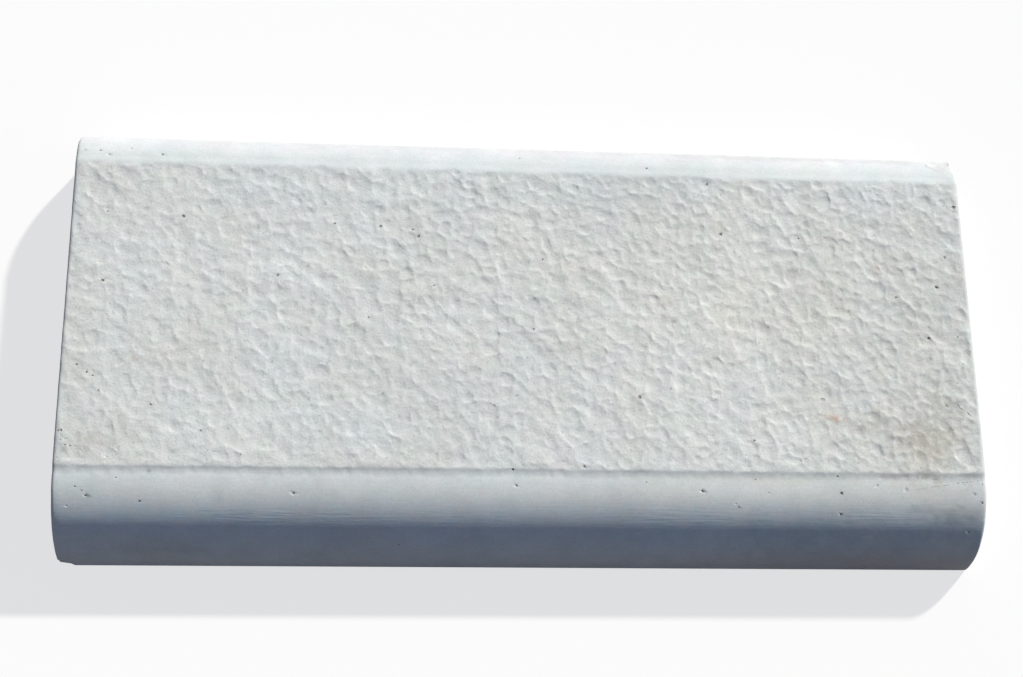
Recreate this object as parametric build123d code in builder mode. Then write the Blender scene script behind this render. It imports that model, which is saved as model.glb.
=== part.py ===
"""Concrete kerb stone, cast in one piece.

A flat slab with a quarter-round nose along its front edge, a rounded shoulder along its
back edge and a low panel on top that stands proud of the smooth margins around it.

Frame: +X along the stone, +Y from the nose to the back, +Z up.
The origin is at the middle of the bed, the flat underside.  Units are millimetres.
"""

import os

from build123d import *

# Overall size
length = 500.0
width = 238.0
thickness = 45.0

# Top panel: how far it stands proud, and the smooth strip left at each end of the stone
panel_rise = 1.0
panel_end_margin = 3.0
panel_edge_chamfer = 0.5

# Front: a short upright foot, the quarter-round nose and a flat margin up to the panel
foot_height = 2.0
nose_margin = 3.0

# Back: the rounded shoulder starts at the panel's back edge
shoulder_radius = 20.0

# Eased edges, as the mould leaves them
end_arris_radius = 2.0
bed_arris_radius = 1.0

# Worked out from the sizes above
margin_level = thickness - panel_rise
nose_radius = margin_level - foot_height
front = -width / 2
back = width / 2
panel_front = front + nose_radius + nose_margin
panel_back = back - shoulder_radius
panel_depth = panel_back - panel_front
panel_length = length - 2 * panel_end_margin

with BuildPart() as kerb_stone:
    # The section, drawn across the stone and extruded from end to end
    with BuildSketch(Plane.YZ.offset(-length / 2)):
        with BuildLine():
            foot = Line((front, 0), (front, foot_height))
            nose = CenterArc((front + nose_radius, foot_height), nose_radius, 180, -90)
            Line(nose @ 1, (panel_back, margin_level))
            shoulder = CenterArc((panel_back, margin_level - shoulder_radius), shoulder_radius, 90, -90)
            Polyline(shoulder @ 1, (back, 0), foot @ 0)
        make_face()
    extrude(amount=length)

    # Both ends are eased all round except along the bed
    bed_edges = kerb_stone.faces().sort_by(Axis.Z)[0].edges()
    end_edges = kerb_stone.faces().filter_by(Axis.X).edges() - bed_edges
    fillet(end_edges, radius=end_arris_radius)

    # The bed is eased all round
    fillet(kerb_stone.faces().sort_by(Axis.Z)[0].edges(), radius=bed_arris_radius)

    # The raised panel, with its upper edges eased
    with BuildSketch(Plane.XY.offset(margin_level)):
        with Locations((0, (panel_front + panel_back) / 2)):
            Rectangle(panel_length, panel_depth)
    extrude(amount=panel_rise)
    chamfer(kerb_stone.faces().sort_by(Axis.Z)[-1].edges(), length=panel_edge_chamfer)

kerb_stone.part.label = "kerb_stone"

os.makedirs("parts", exist_ok=True)
export_step(kerb_stone.part, "parts/kerb_stone.step")
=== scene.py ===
"""Looks of the concrete kerb stone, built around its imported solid.

One closed mesh stands for the solid.  It has the same section, with the cast relief of the top
panel, the eased edges, the chips and the small air holes as real shape.  Metres, in the part's own frame.
"""

import math

import bmesh
import bpy
import numpy as np
from mathutils import Euler, Matrix, Vector, noise
from mathutils.bvhtree import BVHTree


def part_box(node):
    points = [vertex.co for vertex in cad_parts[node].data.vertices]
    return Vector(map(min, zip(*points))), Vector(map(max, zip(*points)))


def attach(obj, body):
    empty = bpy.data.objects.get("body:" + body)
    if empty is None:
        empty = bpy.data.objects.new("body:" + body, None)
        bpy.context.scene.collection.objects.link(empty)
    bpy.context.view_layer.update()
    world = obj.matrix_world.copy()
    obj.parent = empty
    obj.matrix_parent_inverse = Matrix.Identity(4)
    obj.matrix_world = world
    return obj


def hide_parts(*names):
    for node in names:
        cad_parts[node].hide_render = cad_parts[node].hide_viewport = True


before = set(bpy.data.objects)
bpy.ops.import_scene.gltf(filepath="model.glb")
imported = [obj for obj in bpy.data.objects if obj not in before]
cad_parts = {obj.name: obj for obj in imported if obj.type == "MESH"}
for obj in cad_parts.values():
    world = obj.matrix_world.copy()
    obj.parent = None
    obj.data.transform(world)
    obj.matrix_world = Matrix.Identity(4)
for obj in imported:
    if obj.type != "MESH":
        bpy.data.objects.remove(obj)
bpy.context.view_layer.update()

# The section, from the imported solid's box and the sizes in its source
low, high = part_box("kerb_stone")
stone_size = high - low
panel_rise = 0.001
foot_height = 0.002
nose_margin = 0.003
shoulder_radius = 0.020
end_arris_radius = 0.002
bed_arris_radius = 0.001
margin_level = high.z - panel_rise
nose_radius = margin_level - foot_height
panel_front = low.y + nose_radius + nose_margin
panel_back = high.y - shoulder_radius

# The mesh: its pitches and steps, the triangles that are left of it, its sharp edges and its flat faces
fine_pitch = 0.00065
coarse_stride = 5
edge_pitch = 0.0005
edge_reach = 0.0020
nose_steps = 34
shoulder_steps = 18
back_steps = 5
bed_steps = 6
bed_arris_steps = 3
end_arris_steps = 4
cap_inset = 0.0004
stone_triangles = 176000
sharp_degrees = 50
flat_share = 0.9999

# The cast relief: round hollows with sharp crests between them, on a slow swell
field_step = 0.0005
relief_seed = 11
swell_seed = 14
wander_seed = 15
blotch_seed = 16
crest_finest = 0.0045
crest_coarsest = 0.0115
crest_pull_share = 0.36
crest_passes = 6
crest_slope = 0.104
swell_finest = 0.012
swell_coarsest = 0.050
swell_slope = 0.028
right_end_gain_share = 0.17
back_gain_share = 0.06

# The panel's edges: a low lip above a hollow cove in front, a soft slope at the back, a fade at the ends
lip_rise = 0.00014
lip_width = 0.0025
lip_lift = 0.0006
lip_calm_share = 0.55
lip_calm_width = 0.0040
cove_rise = 0.0009
cove_width = 0.0044
cove_power = 1.75
cove_uneven_share = 0.08
back_rise = 0.00085
back_slope_lead = 0.0022
back_slope_width = 0.0055
back_edge_lead = 0.0022
back_edge_width = 0.0040
back_wander_share = 2.5
end_margin = 0.0015
end_edge_width = 0.0026
edge_wander = 0.00018
edge_wander_finest = 0.005
edge_wander_coarsest = 0.012
arris_wear_share = 0.10
foot_ease_share = 0.15
foot_ease_height = 0.012

# The camera, as it stood for the photograph
photo_width = 1023
photo_height = 677
half_pixel = 0.5
camera_place = Vector((-0.0892, -0.2667, 0.8839))
camera_turn = Euler([math.radians(angle) for angle in (17.556, -5.232, -0.553)])
camera_lens = 57.03
camera_sensor = 36.0

# Air holes: the pixel where each one shows in the photograph, and its width in millimetres
millimetre = 0.001
holes = (
    (953, 207, 2.0), (183, 216, 1.8), (928, 338, 1.5), (720, 234, 1.7), (944, 257, 1.7), (512, 469, 1.4),
    (841, 493, 1.5), (702, 491, 1.3), (840, 514, 1.1), (982, 503, 0.8), (418, 236, 1.6), (334, 223, 1.4),
    (412, 229, 1.3), (706, 184, 1.3), (542, 259, 1.1), (277, 275, 1.3), (102, 280, 1.4), (936, 287, 1.6),
    (895, 297, 1.0), (957, 337, 1.0), (150, 404, 1.3), (240, 454, 1.0), (754, 440, 1.1),
    (584, 466, 1.3), (837, 476, 1.3), (516, 485, 1.4), (293, 493, 1.1), (85, 495, 1.0), (139, 501, 1.0),
    (735.6, 503.6, 0.5), (738, 507, 0.5), (982, 484, 0.7), (968, 532, 1.1), (107, 211, 0.9),
    (380, 226, 1.8), (433, 285, 0.8), (188, 285, 0.5), (368, 317, 0.8), (533, 329, 1.1), (76, 364, 1.0),
    (86, 372, 1.0), (92, 375, 0.8), (98, 390, 1.1), (200, 430, 1.1), (106, 456, 0.7), (798, 238, 1.0),
    (639, 397, 1.9), (85, 149, 0.7), (100, 150, 0.9), (109, 154, 1.1), (131, 148, 0.8), (162, 154, 1.2),
    (519, 158, 0.9), (646, 168, 1.1), (74, 486, 0.7), (81, 490, 0.7), (66, 505, 0.6), (115, 477, 0.8),
    (646, 482, 0.8), (755, 479, 0.6), (398, 544, 0.9),
    (768, 492, 0.6), (57.4, 430, 1.0), (60.3, 429.8, 1.2), (59.6, 439, 0.8), (64.3, 444.5, 0.8),
    (69, 445.5, 0.8),
)

# The balls that cut the dents: a hole's ball is wider than the hole, and lifted out of the face
hole_seed = 5
hole_spread_share = 1.42
hole_depth_share = 0.9
hole_lift_share = 0.5
hole_dent_share = 0.3
hole_stretch_share = 0.2
dent_steps = 2
dent_noise_range = 100

# Hairline cracks, in strokes: the pixels of both ends, width and depth in millimetres
crack_strokes = (
    ((913, 489.6), (928, 487.4), 0.10, 0.20),
    ((929, 487.2), (941, 485.4), 0.12, 0.20),
    ((942, 485.3), (951, 484.2), 0.18, 0.30),
    ((956, 483.0), (959, 482.6), 0.30, 0.40),
    ((961.5, 482.3), (963.5, 482.0), 0.30, 0.40),
    ((965.6, 482.0), (967.6, 481.6), 0.30, 0.40),
    ((969.2, 481.6), (970.8, 481.2), 0.30, 0.40),
    ((972.6, 481.0), (974.0, 480.6), 0.25, 0.40),
    ((977.0, 480.4), (978.2, 480.1), 0.25, 0.40),
    ((932, 479.4), (939.5, 478.3), 0.12, 0.20),
    ((957.6, 403.8), (959.2, 407.2), 0.40, 0.50),
    ((959, 407), (963, 409.8), 0.35, 0.50),
    ((966.5, 411.5), (971, 415.8), 0.45, 0.50),
    ((59.4, 432.5), (63.4, 437.5), 0.22, 0.40),
    ((63.4, 437.5), (67.8, 437.6), 0.22, 0.40),
    ((924.5, 164), (926.5, 167), 0.30, 0.15),
    ((927, 167), (938, 170.5), 0.15, 0.12),
)

# Chips and shallow dirty pits: the pixel, then length, width and depth in millimetres
chips = (
    (60.2, 563.6, 20.0, 17.0, 1.8),
    (937.5, 163.4, 15.0, 11.0, 0.7),
)
pits = (
    (906, 489, 2.0, 2.8, 0.12),
    (877, 485, 1.8, 1.8, 0.10),
    (974.2, 494.2, 1.6, 1.6, 0.12),
    (822, 399.5, 3.6, 2.4, 0.25),
    (946, 406, 2.2, 2.2, 0.25),
)

# How dark each kind of dent is inside
dark_shares = {"hole": 1.0, "pit": 0.5, "chip": 0.0}

# Scrapes on the smooth faces: pixel, reach along and across in millimetres, and strength
scrapes = (
    (290, 516, 95, 7, 1.0),
    (450, 514, 50, 8, 0.7),
    (690, 516, 90, 9, 0.8),
    (870, 515, 60, 10, 0.7),
)
scraped_least_share = 0.2

# Marks of dirt, and patches of painted light and shade: pixel, reach along and across in millimetres,
# strength, and the colour that each lets through
warm_dirt = (1.015, 0.995, 0.965)
shade_dirt = (0.90, 0.90, 0.895)
beige_dirt = (0.84, 0.79, 0.74)
rust_dirt = (0.92, 0.71, 0.63)
# grey dirt, and painted shade at the nose's right end
grey_dirt_and_shade = (0.66, 0.66, 0.64)
# painted light: evens out the colour that the sun gives the sunlit back strip
painted_rim_light_tint = (0.985, 0.943, 0.985)
# darker and less red
lower_right_darkening = (0.88, 0.93, 0.94)
sand_dirt = (0.93, 0.91, 0.88)
# warmer and darker
foot_warm_darkening = (0.95, 0.885, 0.87)
# painted shade: the cool colour of sky light where the nose turns from sun to shade
painted_cool_shade = (0.92, 0.97, 1.0)
# painted shade: the blue of sky light in the nose's shaded lower half
painted_blue_shade = (0.865, 0.975, 1.09)
cool_dirt = (0.985, 1.0, 1.014)
# pale dust on the panel, and painted light on the back strip, the nose's sunlit band and the foot
pale_dust_and_painted_light = (1.06, 1.06, 1.05)
# painted light: a lighter, warmer sunlit band
painted_warm_light = (1.07, 1.05, 1.01)
stains_and_painted_light = (
    (740, 300, 190, 95, 1.0, warm_dirt),
    (945, 330, 70, 110, 0.65, shade_dirt),
    (930, 430, 60, 45, 1.0, shade_dirt),
    (72, 300, 45, 120, 0.35, shade_dirt),
    (790, 250, 45, 30, 0.40, shade_dirt),
    (930, 205, 45, 30, 0.40, shade_dirt),
    (290, 425, 60, 40, 0.80, pale_dust_and_painted_light),
    (565, 275, 55, 50, 0.45, pale_dust_and_painted_light),
    (220, 175, 90, 14, 0.50, pale_dust_and_painted_light),
    (512, 185, 520, 28, 0.80, cool_dirt),
    (430, 440, 130, 35, 0.80, cool_dirt),
    (850, 440, 55, 28, 0.50, warm_dirt),
    (939, 167, 9, 8, 0.35, beige_dirt),
    (75, 440, 45, 30, 0.60, shade_dirt),
    # painted light: a tint along the sunlit back strip that evens out the sun's colour there
    (512, 152, 700, 9, 0.90, painted_rim_light_tint),
    (800, 159, 160, 4, 0.34, grey_dirt_and_shade),
    (450, 148.5, 190, 4, 0.16, grey_dirt_and_shade),
    # painted light: lightens the back strip next to the panel, where it faces the sun least
    (512, 161, 700, 4, 0.50, pale_dust_and_painted_light),
    (790, 478, 130, 4.5, 0.90, sand_dirt),
    # painted shade: a cooler tint where the nose's left part turns from sunlit to shaded
    (190, 518, 95, 8, 0.70, painted_cool_shade),
    # painted shade: a blue tint over the nose's shaded lower half, for the sky's light there
    (512, 534, 1500, 20, 1.0, painted_blue_shade),
    # warmer and darker at the foot of the nose on the right
    (800, 562, 170, 7, 0.90, foot_warm_darkening),
    (930, 420, 75, 60, 0.60, warm_dirt),
    (922, 442, 28, 24, 0.75, beige_dirt),
    (868, 425, 14, 10, 0.35, beige_dirt),
    (945, 405, 16, 26, 0.35, beige_dirt),
    (834, 417, 6.0, 3.2, 1.0, rust_dirt),
    (820, 416, 6, 3, 0.45, rust_dirt),
    (844, 420, 6, 3.5, 0.40, rust_dirt),
    (665, 302, 9, 7, 0.18, rust_dirt),
    (875, 270, 6, 5, 0.25, rust_dirt),
    (133, 357, 2.5, 2.5, 0.9, rust_dirt),
    (202, 389, 8, 5, 0.3, beige_dirt),
    (540, 262, 5, 5, 0.3, beige_dirt),
    (720, 231, 5, 5, 0.3, beige_dirt),
    (88, 442, 14, 9, 0.35, beige_dirt),
    (62, 448.5, 4.0, 2.6, 1.0, grey_dirt_and_shade),
    (149, 470, 1.8, 1.6, 0.8, grey_dirt_and_shade),
    (216, 497, 4.5, 6, 0.35, grey_dirt_and_shade),
    (95, 488, 24, 14, 0.6, shade_dirt),
    (120, 145, 8, 4, 0.15, beige_dirt),
    (590, 160, 30, 3, 0.15, beige_dirt),
    (892, 476, 10, 2.2, 0.6, grey_dirt_and_shade),
    (925, 476, 16, 2.5, 0.6, grey_dirt_and_shade),
    (962, 475, 16, 2.2, 0.6, grey_dirt_and_shade),
    (930, 486, 30, 8, 0.15, beige_dirt),
    (960, 556, 190, 25, 0.55, beige_dirt),
    # partly dirt, partly painted shade: a darker patch where the nose's right end rounds away from the light
    (955, 513, 38, 8, 0.60, grey_dirt_and_shade),
    (945, 494, 34, 14, 0.25, beige_dirt),
    # darker and less red over the lower right of the nose
    (820, 540, 170, 22, 0.70, lower_right_darkening),
    # painted light: a lighter, warmer sunlit band on the nose's right part
    (760, 493, 170, 11, 0.80, painted_warm_light),
    # painted light: a lighter sunlit band along the nose's upper part
    (330, 491, 230, 10, 0.65, pale_dust_and_painted_light),
    # painted light: lightens the foot against the shade where the stone meets the floor
    (190, 563.5, 130, 5, 2.0, pale_dust_and_painted_light),
    (155, 550, 35, 10, 0.45, beige_dirt),
)
blotch_finest = 0.002
blotch_coarsest = 0.010
blotch_share = 0.22
blotch_fade_depth = 0.014

# The floor: a hair above the bed's plane, pale to the camera, with a weak warm light back to the stone
floor_rise = 0.00005
floor_reach = 8.0
floor_colour = (0.9, 0.9, 0.9, 1)
floor_glow_share = 0.7
floor_return = (0.265, 0.23, 0.20, 1)
white = (1, 1, 1, 1)

# Light: a soft sun from behind on the right, and a weak bluish fill
sun_azimuth_degrees = 52.0
sun_height_degrees = 32.5
sun_spread_degrees = 2.5
sun_level = (0.842, 0.828, 0.779)
fill_level = (0.147, 0.161, 0.216)

# The concrete's tints, mixed in pairs by a noise
panel_tints = ((0.609, 0.640, 0.6425, 1), (0.625, 0.640, 0.622, 1))
smooth_tints = ((0.614, 0.658, 0.670, 1), (0.630, 0.660, 0.660, 1))
fleck_tints = ((0.982, 1.004, 0.985, 1), (1.018, 0.996, 1.011, 1))
hole_tint = (0.55, 0.53, 0.50, 1)

# The concrete's noises: how many waves in a metre, and the detail
patch_noise = (30, 4)
fleck_noise = (120, 3)
speckle_noise = (900, 2)
speck_noise = (520, 1)
mottle_noise = (85, 3)
cloud_noise = (16, 5)
sheen_noise = (300, 3)
streak_noise = (700, 2)
grain_noise = (650, 3)
noise_roughness_share = 0.6
noise_shift = (3, 5, 7)
streak_stretch_shares = (0.07, 1, 1)

# The part of a noise that counts, and the shares that it is spread to
inner_shares = (0.35, 0.65)
wide_shares = (0.3, 0.7)
peak_shares = (0.66, 0.76)
whole_shares = (0, 1)
speckle_shares = (0.94, 1.06)
speck_shares = (1, 0.80)
mottle_shares = (0.955, 1.045)
cloud_shares = (0.945, 1.055)
sheen_shares = (0.80, 0.94)
specular_share = 0.2
streak_depth = 0.00017
grain_depth = 0.00020


def smooth_step(value):
    """0 below 0, 1 above 1, and a smooth rise between."""
    share = np.clip(value, 0, 1)
    return share * share * (3 - 2 * share)


def rise_over(distance, width):
    """A smooth rise from 0 to 1 over a band of the width, half way up at its middle."""
    return smooth_step(distance / width + 1 / 2)


def waves():
    """Wave numbers along the stone, across it and in all, for a field over the stone's plan."""
    along = np.fft.rfftfreq(round(stone_size.x / field_step), field_step)[None, :]
    across = np.fft.fftfreq(round(stone_size.y / field_step), field_step)[:, None]
    return along, across, np.hypot(along, across)


def rough_field(seed, finest, coarsest):
    """Random relief over the stone's plan, with pitches from finest to coarsest and an rms of 1."""
    shape = (round(stone_size.y / field_step), round(stone_size.x / field_step))
    draws = np.random.default_rng(seed).standard_normal(shape)
    _, _, wave = waves()
    weight = np.exp(-(wave * finest) ** 2 / 2) / np.hypot(wave, 1 / coarsest)
    weight[0, 0] = 0
    field = np.fft.irfft2(np.fft.rfft2(draws) * weight, s=shape)
    return field / field.std()


def sample(field, x, y):
    """The field's value at places on the stone, between its grid points."""
    column = np.clip((x - low.x) / field_step, 0, field.shape[1] - 2)
    row = np.clip((y - low.y) / field_step, 0, field.shape[0] - 2)
    left = column.astype(int)
    down = row.astype(int)
    right_share = column - left
    up_share = row - down
    near = field[down, left] * (1 - right_share) + field[down, left + 1] * right_share
    far = field[down + 1, left] * (1 - right_share) + field[down + 1, left + 1] * right_share
    return near * (1 - up_share) + far * up_share


def with_crests(field):
    """The field with its points drawn towards its crests, which makes them sharp and the hollows round."""
    along, across, wave = waves()
    wave[0, 0] = 1
    spectrum = np.fft.rfft2(field)
    pull_x, pull_y = [np.fft.irfft2(spectrum * 1j * part / wave, s=field.shape) for part in (along, across)]
    reach = crest_pull_share * field_step / np.std(np.diff(pull_x, axis=1))
    rows, columns = np.mgrid[0:field.shape[0], 0:field.shape[1]] * field_step
    x = low.x + columns
    y = low.y + rows
    from_x, from_y = x, y
    for _ in range(crest_passes):
        shift_x = reach * sample(pull_x, from_x, from_y)
        shift_y = reach * sample(pull_y, from_x, from_y)
        from_x = (from_x + x - shift_x) / 2
        from_y = (from_y + y - shift_y) / 2
    return sample(field, from_x, from_y)


def with_slope(field, slope):
    """The field scaled to an rms slope along the stone."""
    return field * slope / np.std(np.diff(field, axis=1) / field_step)


relief = with_slope(with_crests(rough_field(relief_seed, crest_finest, crest_coarsest)), crest_slope)
relief += with_slope(rough_field(swell_seed, swell_finest, swell_coarsest), swell_slope)
relief *= 1 + right_end_gain_share * np.linspace(-1, 1, relief.shape[1])
relief *= 1 + back_gain_share * np.linspace(-1, 1, relief.shape[0])[:, None]
wander = edge_wander * rough_field(wander_seed, edge_wander_finest, edge_wander_coarsest)
blotch = blotch_share * rough_field(blotch_seed, blotch_finest, blotch_coarsest)


def panel_edges(x, y):
    """Shares that rise from 0 to 1 over the panel's front edge, back edge and ends, and the cove's share."""
    front_edge = panel_front + lip_lift * (x - low.x) / stone_size.x
    front_edge = front_edge + sample(wander, x, np.full_like(x, panel_front))
    back_edge = panel_back - back_edge_lead
    back_edge = back_edge + back_wander_share * sample(wander, x, np.full_like(x, panel_back))
    end_edge = stone_size.x / 2 - end_margin + sample(wander, x, y)
    lip = rise_over(y - front_edge, lip_width)
    back = rise_over(back_edge - y, back_edge_width)
    ends = rise_over(end_edge - np.abs(x), end_edge_width)
    uneven = 1 + cove_uneven_share * sample(wander, x, np.full_like(x, panel_back)) / edge_wander
    cove = np.clip(1 - (front_edge - y) / (cove_width * uneven), 0, 1) ** cove_power
    return lip, back, ends, cove


def panel_height(x, y):
    """How far the top stands above the level of the margins."""
    lip, back, ends, cove = panel_edges(x, y)
    depth_share = np.clip((y - panel_front) / (panel_back - panel_front), 0, 1)
    front_rise = cove_rise * cove + lip_rise * lip
    back_slope = smooth_step(1 - (y - panel_back + back_slope_lead) / back_slope_width)
    rise = front_rise * (1 - depth_share) + back_rise * back_slope * depth_share
    calm = 1 - lip_calm_share * smooth_step(1 - (y - panel_front) / lip_calm_width)
    return rise + ends * lip * back * calm * sample(relief, x, y)


def arc(centre, radius, start, end, steps):
    """Points of an arc in the section with their outward normals, angles in degrees."""
    turn = np.radians(np.linspace(start, end, steps + 1))
    normal = np.stack([np.cos(turn), np.sin(turn)], axis=1)
    return np.hstack([np.array(centre) + radius * normal, normal])


def flat(start, end, steps, normal):
    """Points inside a straight stretch of the section, without its ends."""
    share = np.linspace(0, 1, steps + 1)[1:-1, None]
    points = np.array(start) * (1 - share) + np.array(end) * share
    return np.hstack([points, np.tile(normal, (len(points), 1))])


def even(start, end, pitch):
    """Places from start to just before end, as near to the pitch as goes in evenly."""
    return np.linspace(start, end, round((end - start) / pitch), endpoint=False)


def top_rows():
    """The fine rows across the top: close together at the panel's two edges, even between."""
    stops = [
        (panel_front - cove_width - edge_reach, fine_pitch),
        (panel_front - edge_reach, edge_pitch),
        (panel_front + edge_reach, fine_pitch),
        (panel_back - edge_reach, edge_pitch),
        (panel_back + edge_reach, edge_pitch),
    ]
    across = np.concatenate([even(here[0], after[0], here[1]) for here, after in zip(stops, stops[1:])])
    past_nose = np.minimum(across - low.y - nose_radius, 0)
    past_panel = np.maximum(across - panel_back, 0)
    nose_drop = nose_radius - np.sqrt(nose_radius**2 - past_nose**2)
    shoulder_drop = shoulder_radius - np.sqrt(shoulder_radius**2 - past_panel**2)
    lean = past_nose / nose_radius + past_panel / shoulder_radius
    return np.stack([across, margin_level - nose_drop - shoulder_drop, lean, np.sqrt(1 - lean**2)], axis=1)


def section_rows():
    """The section's points once round, from the bed's front edge over the nose and the top to the back."""
    nose_centre = (low.y + nose_radius, low.z + foot_height)
    shoulder_end = (high.y, margin_level - shoulder_radius)
    shoulder_centre = (panel_back, shoulder_end[1])
    front_bed = (low.y + bed_arris_radius, low.z + bed_arris_radius)
    back_bed = (high.y - bed_arris_radius, low.z + bed_arris_radius)
    top = top_rows()
    nose_end, shoulder_start = [90 - math.degrees(math.asin(top[row, 2])) for row in (0, -1)]
    parts = [
        (arc(front_bed, bed_arris_radius, 270, 180, bed_arris_steps), False),
        (arc(nose_centre, nose_radius, 180, nose_end, nose_steps)[:-1], False),
        (top, True),
        (arc(shoulder_centre, shoulder_radius, shoulder_start, 0, shoulder_steps)[1:], False),
        (flat(shoulder_end, (high.y, back_bed[1]), back_steps, (1, 0)), False),
        (arc(back_bed, bed_arris_radius, 0, -90, bed_arris_steps), False),
        (flat((back_bed[0], low.z), (front_bed[0], low.z), bed_steps, (0, -1)), False),
    ]
    rows = np.vstack([points for points, _ in parts])
    is_fine = np.concatenate([np.full(len(points), kind) for points, kind in parts])
    return rows, is_fine


def stations():
    """Places along the stone, how far the section is drawn in there, and which ones smooth faces use."""
    inner_half = stone_size.x / 2 - end_arris_radius
    groups = round(inner_half * 2 / fine_pitch / coarse_stride)
    inner = np.linspace(-inner_half, inner_half, groups * coarse_stride + 1)
    turn = np.radians(np.linspace(0, 90, end_arris_steps + 1)[1:])
    out = inner_half + end_arris_radius * np.sin(turn)
    drawn_in = end_arris_radius * (1 - np.cos(turn))
    place = np.concatenate([-out[::-1], inner, out])
    inset = np.concatenate([drawn_in[::-1], np.zeros(len(inner)), drawn_in])
    coarse = np.ones(len(place), bool)
    coarse[end_arris_steps:-end_arris_steps] = np.arange(len(inner)) % coarse_stride == 0
    return place, inset, coarse


def strip(here, after):
    """Faces between two rows, one of which may use fewer stations than the other."""
    shared = np.flatnonzero((here >= 0) & (after >= 0))
    faces = []
    for left, right in zip(shared[:-1], shared[1:]):
        lower = [corner for corner in here[left:right + 1] if corner >= 0]
        upper = [corner for corner in after[left:right + 1] if corner >= 0]
        faces.append(lower + upper[::-1])
    return faces


def stone_mesh():
    """The closed grid round the stone, with a flat cap on each end."""
    rows, is_fine = section_rows()
    place, inset, coarse = stations()
    points = []
    index = np.full((len(rows), len(place)), -1)
    for number, (y, z, normal_y, normal_z) in enumerate(rows):
        used = np.arange(len(place)) if is_fine[number] else np.flatnonzero(coarse)
        index[number, used] = len(points) + np.arange(len(used))
        x = place[used]
        eased = inset[used] * np.clip((z - low.z) / foot_ease_height, foot_ease_share, 1)
        worn = eased * (1 + arris_wear_share * sample(wander, x, np.full_like(x, y)) / edge_wander)
        row_y = y - normal_y * worn
        row_z = z - normal_z * worn
        if normal_z > 0:
            row_z = row_z + panel_height(x, row_y)
        points.extend(np.stack([x, row_y, row_z], axis=1))
    faces = []
    for number in range(len(rows)):
        faces.extend(strip(index[number], index[(number + 1) % len(rows)]))
    for column, side in ((0, -1), (len(place) - 1, 1)):
        ring = index[:, column]
        inner = len(points) + np.arange(len(rows))
        for corner, (_, _, normal_y, normal_z) in zip(ring, rows):
            points.append(points[corner] - cap_inset * np.array((0, normal_y, normal_z)))
        for number in range(len(rows)):
            after = (number + 1) % len(rows)
            corners = [ring[number], inner[number], inner[after], ring[after]]
            faces.append(corners if side > 0 else corners[::-1])
        faces.append(list(inner[::-1] if side > 0 else inner))
    mesh = bpy.data.meshes.new("kerb_stone_cast")
    mesh.from_pydata(np.array(points).tolist(), [], [np.array(face).tolist() for face in faces])
    return mesh


def applied(stone):
    """The stone's mesh with its modifiers worked in; the old mesh goes."""
    scene_graph = bpy.context.evaluated_depsgraph_get()
    mesh = bpy.data.meshes.new_from_object(stone.evaluated_get(scene_graph))
    stone.modifiers.clear()
    before = stone.data
    stone.data = mesh
    name = before.name
    bpy.data.meshes.remove(before)
    mesh.name = name
    return mesh


def values_of(items, name, kind, width=1):
    """One value, or a row of several, for each of a mesh's points, edges, corners or faces."""
    values = np.zeros(len(items) * width, kind)
    items.foreach_get(name, values)
    return values.reshape(-1, width) if width > 1 else values


def rough_share(mesh):
    """The places of a mesh's points, and how far each one belongs to the rough panel."""
    x, y, z = values_of(mesh.vertices, "co", float, 3).T
    lip, back, ends, _ = panel_edges(x, y)
    return x, y, z, lip * back * ends * (z > margin_level - shoulder_radius / 2)


def thin_out(stone):
    """Merge the panel's flatter faces, so that its triangles go where the relief bends."""
    *_, rough = rough_share(stone.data)
    panel = stone.vertex_groups.new(name="panel")
    panel.add(np.flatnonzero(rough > 0).tolist(), 1, "REPLACE")
    triangles = sum(len(face.vertices) - 2 for face in stone.data.polygons)
    thin = stone.modifiers.new("thin_out", "DECIMATE")
    thin.ratio = stone_triangles / triangles
    thin.vertex_group = panel.name
    thin.use_collapse_triangulate = True
    applied(stone)
    stone.vertex_groups.clear()


def seen_at(surface, across, down):
    """The place on the stone that the camera sees at a pixel, and the face's normal there."""
    focal = camera_lens / camera_sensor * photo_width
    ray = Vector((across + half_pixel - photo_width / 2, photo_height / 2 - down - half_pixel, -focal))
    ray.rotate(camera_turn)
    place, normal, _, _ = surface.ray_cast(camera_place, ray.normalized())
    return place, normal


def add_dent(shape, draw, centre, normal, along, size, kind="hole"):
    """A dented ball in the mesh, with its sizes along, across and out of the face."""
    across = normal.cross(along).normalized()
    axes = Matrix((across.cross(normal), across, normal)).transposed()
    offset = Vector(draw.uniform(0, dent_noise_range, 3))
    for corner in bmesh.ops.create_icosphere(shape, subdivisions=dent_steps, radius=1)["verts"]:
        dent = 1 + hole_dent_share * noise.noise(corner.co + offset)
        corner.co = centre + axes @ (corner.co * size * dent)
        for face in corner.link_faces:
            face.material_index = list(dark_shares).index(kind)


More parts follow.
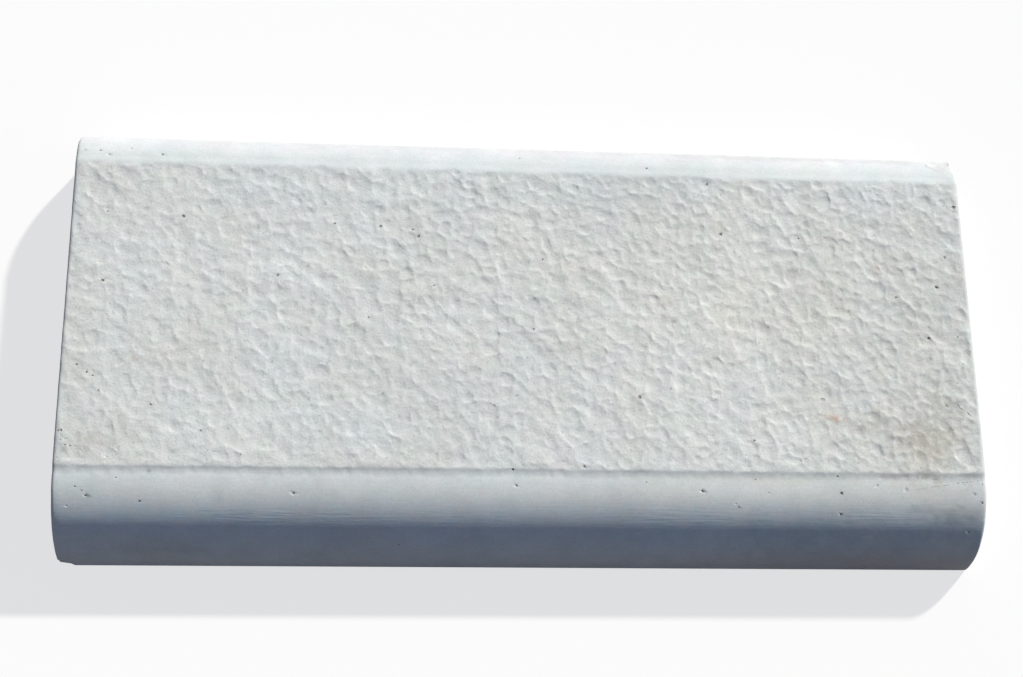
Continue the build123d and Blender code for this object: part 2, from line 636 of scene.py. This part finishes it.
def dent_mesh(surface):
    """The air holes, cracks, pits and chips as one mesh, each where the camera sees it on the stone."""
    draw = np.random.default_rng(hole_seed)
    shape = bmesh.new()
    for across, down, width in holes:
        place, normal = seen_at(surface, across, down)
        half_width = hole_spread_share * width * millimetre / 2
        stretch = 1 + draw.uniform(0, hole_stretch_share)
        size = Vector((half_width * stretch, half_width / stretch, half_width * hole_depth_share))
        centre = place + normal * half_width * hole_lift_share
        add_dent(shape, draw, centre, normal, Vector(draw.normal(0, 1, 3)), size)
    for start, end, width, depth in crack_strokes:
        first, first_normal = seen_at(surface, *start)
        last, last_normal = seen_at(surface, *end)
        normal = (first_normal + last_normal).normalized()
        size = Vector(((last - first).length / 2, width * millimetre / 2, depth * millimetre))
        add_dent(shape, draw, (first + last) / 2, normal, last - first, size)
    for kind, table in (("pit", pits), ("chip", chips)):
        for across, down, length, width, depth in table:
            place, normal = seen_at(surface, across, down)
            size = Vector((length / 2, width / 2, depth)) * millimetre
            add_dent(shape, draw, place, normal, Vector((1, 0, 0)), size, kind)
    mesh = bpy.data.meshes.new("dents")
    shape.to_mesh(mesh)
    shape.free()
    return mesh


def cut_dents(stone, surface):
    """Take the dents out of the stone, and note how dark each face inside them is."""
    cutter = bpy.data.objects.new("dents", dent_mesh(surface))
    kinds = [bpy.data.materials.new(name) for name in dark_shares]
    for kind in kinds:
        cutter.data.materials.append(kind)
    bpy.context.scene.collection.objects.link(cutter)
    cut = stone.modifiers.new("dents", "BOOLEAN")
    cut.operation = "DIFFERENCE"
    cut.solver = "MANIFOLD"
    cut.material_mode = "TRANSFER"
    cut.object = cutter
    mesh = applied(stone)
    slots = values_of(mesh.polygons, "material_index", int)
    names = [material.name if material else "" for material in mesh.materials]
    dark = np.array([dark_shares.get(name, 0) for name in names], np.float32)[slots]
    mesh.attributes.new("hole", "FLOAT", "FACE").data.foreach_set("value", dark)
    mesh.polygons.foreach_set("material_index", np.zeros(len(mesh.polygons), int))
    mesh.materials.clear()
    bpy.data.objects.remove(cutter)
    for kind in kinds:
        bpy.data.materials.remove(kind)


def patch_share(x, y, surface, across, down, reach_x, reach_y):
    """1 at the place that shows at a pixel, blotched and falling to 0 at the reach."""
    place, _ = seen_at(surface, across, down)
    far = np.hypot((x - place.x) / reach_x, (y - place.y) / reach_y) / millimetre
    fade = np.clip((y - low.y) / blotch_fade_depth, 0, 1)
    return smooth_step(1 - far + fade * sample(blotch, x, y) * np.exp(-far))


def stain_and_light_colours(x, y, surface):
    """The colour that dirt and painted light and shade let through at places on the stone."""
    colours = np.ones((len(x), 3))
    for *patch, strength, colour in stains_and_painted_light:
        share = strength * patch_share(x, y, surface, *patch)
        colours *= 1 + share[:, None] * (np.array(colour) - 1)
    return colours


def scraped_share(x, y, surface):
    """How far places on the stone are scraped, with a little everywhere."""
    shares = np.full(len(x), scraped_least_share)
    for *patch, strength in scrapes:
        shares = np.maximum(shares, strength * patch_share(x, y, surface, *patch))
    return shares


def add_attributes(mesh, surface):
    """The rough and the scraped share of each point, and its dirt colour with painted light and shade, with
    none on the ends and the bed.
    """
    x, y, z, rough = rough_share(mesh)
    for name, shares in (("rough", rough), ("scraped", scraped_share(x, y, surface))):
        mesh.attributes.new(name, "FLOAT", "POINT").data.foreach_set("value", shares.astype(np.float32))
    is_plain = (np.abs(x) > high.x - cap_inset) | (z < low.z + cap_inset)
    colours = np.where(is_plain[:, None], 1, stain_and_light_colours(x, y, surface))
    colours = np.hstack([colours, np.ones((len(x), 1))])
    stain_and_light = mesh.attributes.new("stain_and_light", "FLOAT_COLOR", "POINT")
    stain_and_light.data.foreach_set("color", colours.astype(np.float32).ravel())


def sharpen_edges(mesh):
    """Steep edges are sharp, and so are the rims of the bed and the ends, which keeps those faces flat."""
    mesh.set_sharp_from_angle(angle=math.radians(sharp_degrees))
    normals = values_of(mesh.polygons, "normal", float, 3)
    is_flat = (np.abs(normals[:, 0]) > flat_share) | (normals[:, 2] < -flat_share)
    corners = values_of(mesh.polygons, "loop_total", int)
    edges = values_of(mesh.loops, "edge_index", int)
    flat_sides = np.bincount(edges, np.repeat(is_flat, corners), len(mesh.edges))
    sharp = values_of(mesh.edges, "use_edge_sharp", bool)
    mesh.edges.foreach_set("use_edge_sharp", sharp | (flat_sides == 1))


def make_camera():
    """The camera at the photograph's place and angle."""
    data = bpy.data.cameras.new("camera")
    data.sensor_fit = "HORIZONTAL"
    data.sensor_width = camera_sensor
    data.lens = camera_lens
    camera = bpy.data.objects.new("camera", data)
    camera.location = camera_place
    camera.rotation_euler = camera_turn
    bpy.context.scene.collection.objects.link(camera)
    bpy.context.scene.camera = camera


def add_node(tree, kind, inputs=None, **settings):
    """A new node with its settings; each input is a value, or another node's output to link."""
    made = tree.nodes.new(kind)
    for name, value in settings.items():
        setattr(made, name, value)
    for name, value in (inputs or {}).items():
        if isinstance(value, bpy.types.NodeSocket):
            tree.links.new(value, made.inputs[name])
        else:
            made.inputs[name].default_value = value
    return made


def seen_directly(tree):
    """1 where the camera, a mirror or a glass looks straight at the surface, and 0 for its light."""
    path = add_node(tree, "ShaderNodeLightPath")
    mirror = {0: path.outputs["Is Camera Ray"], 1: path.outputs["Is Glossy Ray"]}
    either = add_node(tree, "ShaderNodeMath", mirror, operation="MAXIMUM")
    glass = {0: either.outputs[0], 1: path.outputs["Is Transmission Ray"]}
    return add_node(tree, "ShaderNodeMath", glass, operation="MAXIMUM").outputs[0]


def make_light():
    """The sun, at a level where a colour on top renders as it is written, and the world's fill."""
    azimuth = math.radians(sun_azimuth_degrees)
    height = math.radians(sun_height_degrees)
    level = max(sun_level)
    data = bpy.data.lights.new("sun", "SUN")
    data.energy = level * math.pi / math.sin(height)
    data.color = [part / level for part in sun_level]
    data.angle = math.radians(sun_spread_degrees)
    sun = bpy.data.objects.new("sun", data)
    level_share = math.cos(height)
    towards = Vector((level_share * math.cos(azimuth), level_share * math.sin(azimuth), math.sin(height)))
    sun.rotation_euler = towards.to_track_quat("Z", "Y").to_euler()
    bpy.context.scene.collection.objects.link(sun)

    world = bpy.data.worlds.new("studio")
    world.use_nodes = True
    bpy.context.scene.world = world
    tree = world.node_tree
    fill = tree.nodes["Background"]
    fill.inputs["Color"].default_value = (*fill_level, 1)
    backdrop = add_node(tree, "ShaderNodeBackground", {"Color": white})
    either = {"Fac": seen_directly(tree), 1: fill.outputs[0], 2: backdrop.outputs[0]}
    mix = add_node(tree, "ShaderNodeMixShader", either)
    tree.links.new(mix.outputs[0], tree.nodes["World Output"].inputs["Surface"])


def make_floor():
    """A plain pale floor that keeps the stone's shadow and throws a little warm light back."""
    mesh = bpy.data.meshes.new("floor")
    corners = [(floor_reach * x, floor_reach * y, 0) for x, y in ((-1, -1), (1, -1), (1, 1), (-1, 1))]
    mesh.from_pydata(corners, [], [(0, 1, 2, 3)])
    floor = bpy.data.objects.new("floor", mesh)
    floor.location.z = low.z + floor_rise
    bpy.context.scene.collection.objects.link(floor)
    material = bpy.data.materials.new("floor")
    material.use_nodes = True
    tree = material.node_tree
    tree.nodes.remove(tree.nodes["Principled BSDF"])
    shaded = add_node(tree, "ShaderNodeBsdfDiffuse", {"Color": floor_colour})
    glow = add_node(tree, "ShaderNodeEmission", {"Color": white})
    both = {"Fac": floor_glow_share, 1: shaded.outputs[0], 2: glow.outputs[0]}
    pale = add_node(tree, "ShaderNodeMixShader", both)
    warm = add_node(tree, "ShaderNodeBsdfDiffuse", {"Color": floor_return})
    either = {"Fac": seen_directly(tree), 1: warm.outputs[0], 2: pale.outputs[0]}
    mix = add_node(tree, "ShaderNodeMixShader", either)
    tree.links.new(mix.outputs[0], tree.nodes["Material Output"].inputs["Surface"])
    mesh.materials.append(material)


def concrete():
    """White cast concrete: mottled, speckled and stained, with painted light and shade mixed into the dirt,
    grainy on the panel and streaked where smooth.
    """
    material = bpy.data.materials.new("white_concrete")
    material.use_nodes = True
    tree = material.node_tree
    shader = tree.nodes["Principled BSDF"]
    place = add_node(tree, "ShaderNodeTexCoord").outputs["Object"]
    rough = add_node(tree, "ShaderNodeAttribute", attribute_name="rough").outputs["Fac"]
    stain_and_light = add_node(tree, "ShaderNodeAttribute", attribute_name="stain_and_light").outputs["Color"]
    hole = add_node(tree, "ShaderNodeAttribute", attribute_name="hole").outputs["Fac"]
    scraped = add_node(tree, "ShaderNodeAttribute", attribute_name="scraped").outputs["Fac"]

    def noise_at(waves_and_detail, where=place):
        scale, detail = waves_and_detail
        inputs = {"Vector": where, "Scale": scale, "Detail": detail, "Roughness": noise_roughness_share}
        return add_node(tree, "ShaderNodeTexNoise", inputs).outputs["Fac"]

    def spread(value, before, after):
        inputs = {"Value": value, "From Min": before[0], "From Max": before[1]}
        inputs.update({"To Min": after[0], "To Max": after[1]})
        return add_node(tree, "ShaderNodeMapRange", inputs).outputs["Result"]

    def mix(share, first, second, blend="MIX"):
        """Two colours mixed by a share, which are the node's inputs 6, 7 and 0."""
        inputs = {0: share, 6: first, 7: second}
        return add_node(tree, "ShaderNodeMix", inputs, data_type="RGBA", blend_type=blend).outputs[2]

    def times(colour, factor):
        return mix(1.0, colour, factor, "MULTIPLY")

    drawn_out = {"Vector": place, "Scale": streak_stretch_shares}
    stretched = add_node(tree, "ShaderNodeMapping", drawn_out).outputs[0]
    moved = add_node(tree, "ShaderNodeMapping", {"Vector": place, "Location": noise_shift}).outputs[0]
    patches = spread(noise_at(patch_noise), inner_shares, whole_shares)
    colour = mix(rough, mix(patches, *smooth_tints), mix(patches, *panel_tints))
    flecks = spread(noise_at(fleck_noise, moved), inner_shares, whole_shares)
    colour = times(colour, mix(flecks, *fleck_tints))
    colour = times(colour, spread(noise_at(speckle_noise), wide_shares, speckle_shares))
    specks = spread(noise_at(speck_noise, moved), peak_shares, speck_shares)
    colour = mix(rough, colour, times(colour, specks))
    mottle = spread(noise_at(mottle_noise), wide_shares, mottle_shares)
    colour = mix(rough, times(colour, mottle), colour)
    colour = times(colour, spread(noise_at(cloud_noise, moved), wide_shares, cloud_shares))
    # these colours hold painted light and shade as well as dirt
    colour = times(colour, stain_and_light)
    colour = mix(hole, colour, times(colour, hole_tint))
    tree.links.new(colour, shader.inputs["Base Color"])
    sheen = spread(noise_at(sheen_noise), wide_shares, sheen_shares)
    tree.links.new(sheen, shader.inputs["Roughness"])
    shader.inputs["Specular IOR Level"].default_value = specular_share

    smooth = spread(rough, whole_shares, whole_shares[::-1])
    patchy = add_node(tree, "ShaderNodeMath", {0: smooth, 1: scraped}, operation="MULTIPLY").outputs[0]
    streaks = {"Strength": patchy, "Distance": streak_depth, "Height": noise_at(streak_noise, stretched)}
    streaked = add_node(tree, "ShaderNodeBump", streaks).outputs[0]
    grain = {"Strength": rough, "Distance": grain_depth, "Height": noise_at(grain_noise), "Normal": streaked}
    tree.links.new(add_node(tree, "ShaderNodeBump", grain).outputs[0], shader.inputs["Normal"])
    return material


make_camera()
make_light()
make_floor()

stone = bpy.data.objects.new("kerb_stone_cast", stone_mesh())
bpy.context.scene.collection.objects.link(stone)
corners = [vertex.co for vertex in stone.data.vertices]
surface = BVHTree.FromPolygons(corners, [face.vertices for face in stone.data.polygons])
thin_out(stone)
cut_dents(stone, surface)
add_attributes(stone.data, surface)
stone.data.polygons.foreach_set("use_smooth", np.ones(len(stone.data.polygons), bool))
sharpen_edges(stone.data)
stone.data.materials.append(concrete())
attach(stone, "root")
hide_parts("kerb_stone")

bpy.context.scene.view_settings.view_transform = "Standard"
